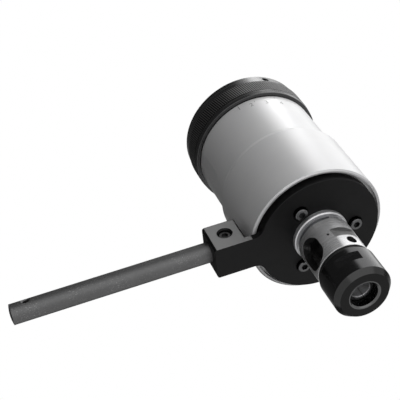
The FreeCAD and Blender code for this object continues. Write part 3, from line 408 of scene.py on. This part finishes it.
PLAIN_METALS = (
    # slot, tone, roughness
    ("screw_steel", (0.10, 0.10, 0.102), 0.16),
    ("bronze", (0.62, 0.40, 0.18), 0.28),
    ("bearing_steel", (0.60, 0.60, 0.61), 0.18),
    ("spring_steel", (0.24, 0.24, 0.25), 0.30),
    ("friction_lining", (0.20, 0.15, 0.11), 0.55),
    ("clutch_steel", (0.48, 0.48, 0.49), 0.26),
    ("gear_steel", (0.40, 0.40, 0.41), 0.26),
)
for slot, tone, roughness in PLAIN_METALS:
    materials[slot] = bright_metal(slot, tone, roughness)
materials["polished_steel"] = brushed_round(
    bright_metal("polished_steel", (0.62, 0.62, 0.63), 0.32, metallic=0.8))
print("finishes:", list(materials))

# %% [markdown]
# The spindle nose is ground outside. Its spanner flats are milled and painted much darker
# than the ground steel: painted shade. Its bore, the walls of its window and the holes of
# the jaw screws are painted dark as well: painted shade in the hollows. The flats and holes
# lie just inside the ground radius, so a radius a little smaller than that separates
# them. The collet is dark, with a bright bore.

# %% Spindle and collet
# Painted shade: the flats and the hollows of the spindle are painted darker than the ground steel.
PAINTED_SHADE_IN_HOLLOWS = grey(0.07)
FLAT_PAINTED_SHADE = grey(0.24)
SPINDLE_FLAT_TOP = nut_low.z + 56.5 * MM
SPINDLE_NECK = nut_low.z + 66.3 * MM
JAW_SCREW_TOP = nut_low.z + 44.3 * MM
FLAT_REACH = 21.5 * MM
HOLE_REACH = 21.3 * MM
BORE_REACH = 15.5 * MM
WINDOW_WAY = -155.0
WINDOW_START = 10.9 * MM
COLLET_BORE_REACH = 8.2 * MM


def spindle_steel():
    """Ground steel, then painted shade on the flats, then painted shade in three hollows over
    both.
    """
    ground = brushed_round(bright_metal("spindle_steel", (0.80, 0.80, 0.81), 0.27, metallic=0.8))
    recolour_inside(ground, FLAT_PAINTED_SHADE, FLAT_REACH, SPINDLE_FLAT_TOP)
    recolour_inside(ground, PAINTED_SHADE_IN_HOLLOWS, BORE_REACH, SPINDLE_NECK)
    recolour_inside(ground, PAINTED_SHADE_IN_HOLLOWS, HOLE_REACH, SPINDLE_NECK, (WINDOW_WAY, WINDOW_START))
    return recolour_inside(ground, PAINTED_SHADE_IN_HOLLOWS, HOLE_REACH, JAW_SCREW_TOP)


def collet_steel():
    """Dark steel with a bright bore."""
    dark_collet = bright_metal("collet_steel", (0.06, 0.06, 0.062), 0.30, metallic=0.4)
    return recolour_inside(dark_collet, (0.62, 0.62, 0.63), COLLET_BORE_REACH)


materials["spindle_steel"] = spindle_steel()
materials["collet_steel"] = collet_steel()
print("finishes:", len(materials))

# %% [markdown]
# Each CAD node already knows its finish by name, so the finishes are handed out in one
# loop. Only the spindle takes one of its own in place of plain polished steel. The mesh
# of a node is never touched, only its material slot.

# %% Give every CAD node its finish
OWN_FINISH = {"tap_spindle": "spindle_steel"}
for part in frame["record"]["subparts"]:
    finish = OWN_FINISH.get(part["node"], part["material_slot"])
    slots = frame["nodes"][part["node"]].data.materials
    slots.clear()
    slots.append(materials[finish])

# %% [markdown]
# New pieces are grids: two parameters run over a surface, and numpy works out all its
# points at once. This helper turns such an array of points into a mesh. Where the first
# and last row are the same line of the real surface, the grid wraps round instead of
# stopping, so no seam is left open.

# %% From a grid of points to a mesh
def grid_mesh(name, points, wrap_rows, wrap_columns):
    """Flat-shaded quads between neighbours of a rows by columns by 3 array of points."""
    rows, columns = points.shape[:2]
    row = np.arange(rows if wrap_rows else rows - 1)[:, None]
    column = np.arange(columns if wrap_columns else columns - 1)[None, :]
    next_row = (row + 1) % rows
    next_column = (column + 1) % columns
    quads = np.stack([row * columns + column, row * columns + next_column,
                      next_row * columns + next_column, next_row * columns + column], axis=-1)
    quads = quads.reshape(-1, 4)
    mesh = bpy.data.meshes.new(name)
    mesh.vertices.add(rows * columns)
    mesh.vertices.foreach_set("co", points.astype(np.float32).ravel())
    mesh.loops.add(quads.size)
    mesh.loops.foreach_set("vertex_index", quads.astype(np.int32).ravel())
    mesh.polygons.add(len(quads))
    mesh.polygons.foreach_set("loop_start", np.arange(len(quads), dtype=np.int32) * 4)
    mesh.polygons.foreach_set("use_smooth", np.zeros(len(quads), dtype=bool))
    mesh.update(calc_edges=True)
    mesh.validate()
    piece = bpy.data.objects.new(name, mesh)
    bpy.context.scene.collection.objects.link(piece)
    return piece


def turned(radii, heights, turns):
    """Grid with x = radius x cosine, y = radius x sine and z = height of each whole turn.

    radii is rows by columns or rows by 1, heights has one value a row, and turns one
    value a column, from 0 to 1 round the axis."""
    angle = 2 * math.pi * turns
    across = radii * np.cos(angle)
    return np.stack([across, radii * np.sin(angle),
                     np.broadcast_to(heights[:, None], across.shape)], axis=-1)


print("grid helpers are ready")

# %% [markdown]
# The grip of the adjusting ring is knurled: two sets of slanting grooves are rolled into
# the band and leave small raised points. A bump map would look right from afar, but its
# outline would stay smooth, so the grooves are real here. Each set is a triangle wave
# that runs round the ring and leans a little as it climbs. The lower of the two waves
# decides the height of the surface, and the second set is rolled less deep.

# %% Knurled band
RIDGES = 188
POINTS_A_RIDGE = 6
KNURL_ROWS = 40
KNURL_LEAN = 10.0
KNURL_LIFT = 0.02 * MM
KNURL_DEPTH = 0.27 * MM
KNURL_BACK = 0.6 * MM
CROSS_SHARE = 0.30
FADE_SHARE = 0.05
SKIRT_HEIGHT = 4.9 * MM
PLAIN_RIM_HEIGHT = 11.0 * MM


def triangle_wave(phase):
    """Runs from 0 in the groove to 1 on the crest, once for each whole phase."""
    return 1 - np.abs(2 * (phase % 1.0) - 1)


def knurled_band(low_z, high_z, radius):
    """Band round the spindle axis, rows along its section and columns round it.

    Radius = valley + depth x fade x the lower of two waves. Wave one has the phase
    ridges x turn + lean. Wave two has the opposite lean, and only its cross share
    moves, so it stays between 0.7 and 1. The fade runs from 0 to 1 over the last bit
    of the band at each end. Two rows further in close the back of the band."""
    turns = np.arange(RIDGES * POINTS_A_RIDGE) / (RIDGES * POINTS_A_RIDGE)
    rows = np.linspace(0, 1, KNURL_ROWS)
    heights = low_z + (high_z - low_z) * rows
    lead = math.tan(math.radians(KNURL_LEAN)) * RIDGES / (2 * math.pi * radius)
    lean = lead * (heights - low_z)[:, None]
    main = triangle_wave(RIDGES * turns[None, :] + lean)
    cross = triangle_wave(RIDGES * turns[None, :] - lean)
    fade = np.clip(np.minimum(rows, 1 - rows) / FADE_SHARE, 0, 1)[:, None]
    lower = np.minimum(main, (1 - CROSS_SHARE) + CROSS_SHARE * cross)
    outer = turned(radius + KNURL_DEPTH * fade * lower, heights, turns)
    back = np.full((2, 1), radius - KNURL_BACK)
    return np.concatenate([outer, turned(back, np.array([high_z, low_z]), turns)])


def black_knurl():
    """Painted shade makes the grooves black and a painted highlight makes the crests paler; the
    radius tells which is which.
    """
    material, tree, shader = new_material("black_knurl")
    middle = ring_radius + KNURL_LIFT + KNURL_DEPTH / 2
    crest = arithmetic(tree, "GREATER_THAN", radius_of(tree, object_axes(tree)), middle)
    tree.links.new(blend_colours(tree, crest, grey(0.0), grey(0.12)),
                   shader.inputs["Base Color"])
    shader.inputs["Metallic"].default_value = 0.8
    shader.inputs["Roughness"].default_value = 0.45
    return material


grip_low = ring_low.z + SKIRT_HEIGHT
grip_high = ring_high.z - PLAIN_RIM_HEIGHT
band = grid_mesh("ring_knurl", knurled_band(grip_low, grip_high, ring_radius + KNURL_LIFT),
                 True, True)
band.data.materials.append(black_knurl())
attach(band, "adjuster")
print("knurl faces:", len(band.data.polygons))

# %% [markdown]
# Below the grip the ring has a plain foot, almost flush with the knurl and rounded off
# at its lower edge. It is a lathe job too: a closed outline of radius and height is
# turned about the axis.

# %% Foot of the ring
def turned_band(name, outline, steps=360):
    """Closed loop of (radius, height) points turned about the spindle axis."""
    loop = np.array(outline)
    return grid_mesh(name, turned(loop[:, :1], loop[:, 1], np.arange(steps) / steps), True, True)


SKIRT_BACK, SKIRT_FOOT = 52.4 * MM, 53.9 * MM
SKIRT_EDGE, SKIRT_TOP = 54.3 * MM, 54.6 * MM
skirt_low = ring_low.z + 0.15 * MM
edge_high = ring_low.z + 0.6 * MM
skirt = turned_band("ring_skirt", [
    (SKIRT_BACK, skirt_low), (SKIRT_FOOT, skirt_low), (SKIRT_EDGE, edge_high),
    (SKIRT_TOP, grip_low), (SKIRT_BACK, grip_low)])
skirt.data.materials.append(materials["black_ring"])
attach(skirt, "adjuster")
print("skirt faces:", len(skirt.data.polygons))

# %% [markdown]
# Under the ring, the housing carries a scale that shows how far the clutch is set:
# plain numbers, with short lines above them. They are stamped, and their darker colour
# is painted shade that stands in for the shade in the stamped grooves. Blender's text
# gives the outline of each number. It is made into a mesh first, flat, and only then are
# its points rolled onto the cylinder: sideways becomes an angle, and upwards stays height.

# %% Flat numbers and lines
TEXT_SIZE_TO_HEIGHT = 1.4


def flat_text(text, height):
    """Points and faces of a filled number, centred on zero, standing height tall."""
    curve = bpy.data.curves.new("number", "FONT")
    curve.body = text
    curve.size = height * TEXT_SIZE_TO_HEIGHT
    curve.align_x = "CENTER"
    curve.resolution_u = 4
    holder = bpy.data.objects.new("number", curve)
    bpy.context.scene.collection.objects.link(holder)
    bpy.context.view_layer.update()
    mesh = bpy.data.meshes.new_from_object(holder)
    points = np.zeros(len(mesh.vertices) * 3)
    mesh.vertices.foreach_get("co", points)
    faces = [list(face.vertices) for face in mesh.polygons]
    bpy.data.objects.remove(holder)
    bpy.data.curves.remove(curve)
    bpy.data.meshes.remove(mesh)
    return points.reshape(-1, 3)[:, :2], faces


def flat_bar(width, height):
    """A short upright line as one rectangle."""
    points = np.array([[-0.5, 0], [0.5, 0], [0.5, 1], [-0.5, 1]]) * [width, height]
    return points, [[0, 1, 2, 3]]


def rolled(points, radius, middle_angle, low_z):
    """Wraps flat points onto a cylinder: angle = middle + x / radius, height = low + y."""
    angle = math.radians(middle_angle) + points[:, 0] / radius
    return np.stack([radius * np.cos(angle), radius * np.sin(angle), low_z + points[:, 1]], axis=1)


print("points in a number:", len(flat_text("4", MM)[0]))

# %% [markdown]
# Each mark has an angle round the housing and a drop under the shoulder where the scale
# begins. All marks become one mesh that lies a hair above the metal, so that the two
# surfaces never fight for the same place.

# %% Scale on the housing
NUMBERS = (
    # number, angle in degrees, drop in millimetres
    (1, -106.7, 4.7), (2, -95.3, 7.3), (3, -81.2, 9.0), (4, -67.2, 11.2),
)
TICKS = (
    # angle in degrees, drop in millimetres
    (-106.7, 1.4), (-90.9, 4.4), (-70.6, 3.0),
)
NUMBER_HEIGHT = 4.6 * MM
TICK_WIDTH, TICK_HEIGHT = 0.5 * MM, 1.6 * MM
HOUSING_RADIUS = 51.6 * MM
MARK_LIFT = 0.07 * MM
SHOULDER_DROP = 0.6 * MM


def scale_marks(radius, shoulder_z):
    """All numbers and lines; the middle of each lies its drop below the shoulder."""
    flats = [(*flat_text(str(number), NUMBER_HEIGHT), angle,
              shoulder_z - drop * MM - NUMBER_HEIGHT / 2) for number, angle, drop in NUMBERS]
    flats += [(*flat_bar(TICK_WIDTH, TICK_HEIGHT), angle,
               shoulder_z - drop * MM - TICK_HEIGHT / 2) for angle, drop in TICKS]
    points, faces, total = [], [], 0
    for flat, corners, angle, low_z in flats:
        points.append(rolled(flat, radius, angle, low_z))
        faces.extend([[total + corner for corner in face] for face in corners])
        total += len(flat)
    mesh = bpy.data.meshes.new("scale_marks")
    mesh.from_pydata(np.concatenate(points).tolist(), [], faces)
    mesh.update()
    piece = bpy.data.objects.new("scale_marks", mesh)
    bpy.context.scene.collection.objects.link(piece)
    return piece


def stamped_mark():
    """Dull metal, painted darker than the housing as painted shade for the stamped grooves, with
    small patches where the stamp wore.
    """
    material, tree, shader = new_material("stamped_mark")
    patches = noise_in_space(tree, grain=2.5 * MM)
    tree.links.new(blend_colours(tree, patches, grey(0.30), grey(0.52)),
                   shader.inputs["Base Color"])
    shader.inputs["Metallic"].default_value = 0.8
    shader.inputs["Roughness"].default_value = 0.6
    return material


marks = scale_marks(HOUSING_RADIUS + MARK_LIFT, ring_low.z - SHOULDER_DROP)
marks.data.materials.append(stamped_mark())
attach(marks, "housing")
print("scale faces:", len(marks.data.polygons))

# %% [markdown]
# One hidden piece changes its shape: the coil spring above the spindle's tail is pressed
# together when the spindle floats up. A CAD node is rigid and is never changed, so a
# copy of its mesh stands in for it and the node is hidden. The copy's loose triangles are
# joined, and the copy hangs from the drive.


def pressed_spring(name, node):
    """Copy of a CAD spring with its loose triangles joined, hung from the drive in place of the
    hidden node."""
    mesh = frame["nodes"][node].data.copy()
    joined = bmesh.new()
    joined.from_mesh(mesh)
    bmesh.ops.remove_doubles(joined, verts=joined.verts, dist=0.001 * MM)
    joined.to_mesh(mesh)
    joined.free()
    spring = bpy.data.objects.new(name, mesh)
    bpy.context.scene.collection.objects.link(spring)
    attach(spring, "drive")
    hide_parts(node)
    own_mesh(spring)
    return spring


coil = pressed_spring("float_spring_coil", "float_spring")
print("spring faces:", len(coil.data.polygons))

# %% [markdown]
# The camera stands below the head and looks up past the collet nut. Its place and its
# two directions were worked out from the circles and straight edges of the object. A
# camera in Blender looks along its own -Z, so the third direction of its matrix points
# backwards, and it is the cross product of right and up.

# %% Camera
CAMERA_PLACE = Vector((-264.11, -560.26, -771.90)) * MM
CAMERA_RIGHT = Vector((0.93393, 0.09682, -0.34409))
CAMERA_UP = Vector((0.28539, -0.78160, 0.55466))
LENS = 100.8
SENSOR_WIDTH = 36.0

camera_data = bpy.data.cameras.new("camera")
camera_data.lens = LENS
camera_data.sensor_width = SENSOR_WIDTH
camera = bpy.data.objects.new("camera", camera_data)
bpy.context.scene.collection.objects.link(camera)
backward = CAMERA_RIGHT.cross(CAMERA_UP)
turn = Matrix((CAMERA_RIGHT, CAMERA_UP, backward)).transposed()
camera.matrix_world = Matrix.Translation(CAMERA_PLACE) @ turn.to_4x4()
bpy.context.scene.camera = camera
print("camera at", [round(value, 4) for value in CAMERA_PLACE])

# %% [markdown]
# A metal shows what stands round it, so the air gives the pieces their shape. For the
# camera and through glass it is plain white. Metals mirror a studio in its place: dim
# all round, with a large bright window on one side and a faint one beside it. White air
# in the mirror images too would leave the black pieces and the shaded side of the
# housing far too pale.

# %% Air
DIM = 0.10
WINDOWS = (
    # way to the middle, degrees of full light, degrees to the edge, strength
    (Vector((0.77, -0.28, 0.57)), 30, 43, 1.9),
    (Vector((0.54, 0.45, 0.71)), 20, 50, 0.3),
)


def seen_by(tree, *kinds):
    """One for rays of these kinds, zero for every other ray."""
    rays = add_node(tree, "ShaderNodeLightPath")
    seen = rays.outputs[kinds[0]]
    for kind in kinds[1:]:
        seen = arithmetic(tree, "MAXIMUM", seen, rays.outputs[kind])
    return seen


def studio_light(tree):
    """DIM plus strength x fade of each window, where the fade runs from 0 at its edge to
    1 where its full light begins, by the cosine of the angle from its middle."""
    place = add_node(tree, "ShaderNodeTexCoord")
    light = DIM
    for way, full, edge, strength in WINDOWS:
        facing = add_node(tree, "ShaderNodeVectorMath", operation="DOT_PRODUCT")
        facing.inputs[1].default_value = way.normalized()
        tree.links.new(place.outputs["Generated"], facing.inputs[0])
        fade = add_node(tree, "ShaderNodeMapRange", interpolation_type="SMOOTHSTEP")
        for key, number in (("From Min", math.cos(math.radians(edge))),
                            ("From Max", math.cos(math.radians(full))), ("To Max", strength)):
            fade.inputs[key].default_value = number
        tree.links.new(facing.outputs["Value"], fade.inputs["Value"])
        light = arithmetic(tree, "ADD", fade.outputs["Result"], light)
    return light


def studio_air():
    """World that is white for the camera and through glass, and a studio elsewhere."""
    world = bpy.data.worlds.new("studio_air")
    bpy.context.scene.world = world
    world.use_nodes = True
    tree = world.node_tree
    tree.nodes.clear()
    studio = add_node(tree, "ShaderNodeBackground")
    tree.links.new(studio_light(tree), studio.inputs["Strength"])
    white = add_node(tree, "ShaderNodeBackground")
    white.inputs["Color"].default_value = (1, 1, 1, 1)
    choose = add_node(tree, "ShaderNodeMixShader")
    tree.links.new(seen_by(tree, "Is Camera Ray", "Is Transmission Ray"), choose.inputs[0])
    tree.links.new(studio.outputs[0], choose.inputs[1])
    tree.links.new(white.outputs[0], choose.inputs[2])
    output = add_node(tree, "ShaderNodeOutputWorld")
    tree.links.new(choose.outputs[0], output.inputs["Surface"])


studio_air()
print("windows:", len(WINDOWS))

# %% [markdown]
# The head hangs in the machine's spindle, so the floor lies well below it, under the
# camera too. The faces that look down mirror it: the stop plate, the nut and the rod.
# It is pale there and for the camera, with a little light of its own, and dark for the
# soft light that it would throw up onto the object.

# %% Floor
FLOOR_HEIGHT = -1.6
FLOOR_HALF_SIZE = 60.0
FLOOR_LIGHT = 0.48
FLOOR_SEEN = grey(0.92)
FLOOR_FOR_SOFT_LIGHT = grey(0.14)


def studio_floor():
    """Flat square; colour and own light follow the kinds of ray that see it."""
    corners = np.array([[[-1, -1, 0], [-1, 1, 0]], [[1, -1, 0], [1, 1, 0]]], float)
    points = corners * FLOOR_HALF_SIZE + np.array([0, 0, FLOOR_HEIGHT])
    floor = grid_mesh("floor", points[::-1], False, False)
    material, tree, shader = new_material("floor")
    seen = seen_by(tree, "Is Camera Ray", "Is Glossy Ray", "Is Transmission Ray")
    tree.links.new(blend_colours(tree, seen, FLOOR_FOR_SOFT_LIGHT, FLOOR_SEEN),
                   shader.inputs["Base Color"])
    shader.inputs["Roughness"].default_value = 0.9
    shader.inputs["Specular IOR Level"].default_value = 0.1
    shader.inputs["Emission Color"].default_value = (1, 1, 1, 1)
    tree.links.new(arithmetic(tree, "MULTIPLY", seen, FLOOR_LIGHT),
                   shader.inputs["Emission Strength"])
    floor.data.materials.append(material)
    floor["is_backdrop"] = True


studio_floor()
print("floor height in metres:", FLOOR_HEIGHT)

# %% [markdown]
# Two square lamps help the windows. A small one puts a soft band of light on the plain
# rim of the ring, and a large one in front fills the shadows. The larger a lamp is, the
# softer its edge on metal.

# %% Lamps
RING_WAY = Vector((0.45, -0.30, 0.84)).normalized()
FRONT_WAY = Vector((0.20, -0.92, -0.33)).normalized()
LAMP_DISTANCE = 1.1


def soft_lamp(name, way, size, power):
    """Square area lamp that faces the middle of the object: size in metres, power in watts."""
    low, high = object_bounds()
    middle = Vector((0, 0, (low[2] + high[2]) / 2))
    data = bpy.data.lights.new(name, "AREA")
    data.size = size
    data.energy = power
    lamp = bpy.data.objects.new(name, data)
    lamp.location = middle + way * LAMP_DISTANCE
    lamp.rotation_euler = way.to_track_quat("Z", "Y").to_euler()
    bpy.context.scene.collection.objects.link(lamp)


soft_lamp("ring_lamp", RING_WAY, size=0.25, power=1.0)
soft_lamp("front_lamp", FRONT_WAY, size=2.0, power=9.0)
print("lamps:", len(bpy.data.lights))

# %% [markdown]
# Last, the view settings. The Standard view shows a colour as it is written, which
# keeps the blacks black and the white background white.

# %% View settings
bpy.context.scene.view_settings.view_transform = "Standard"
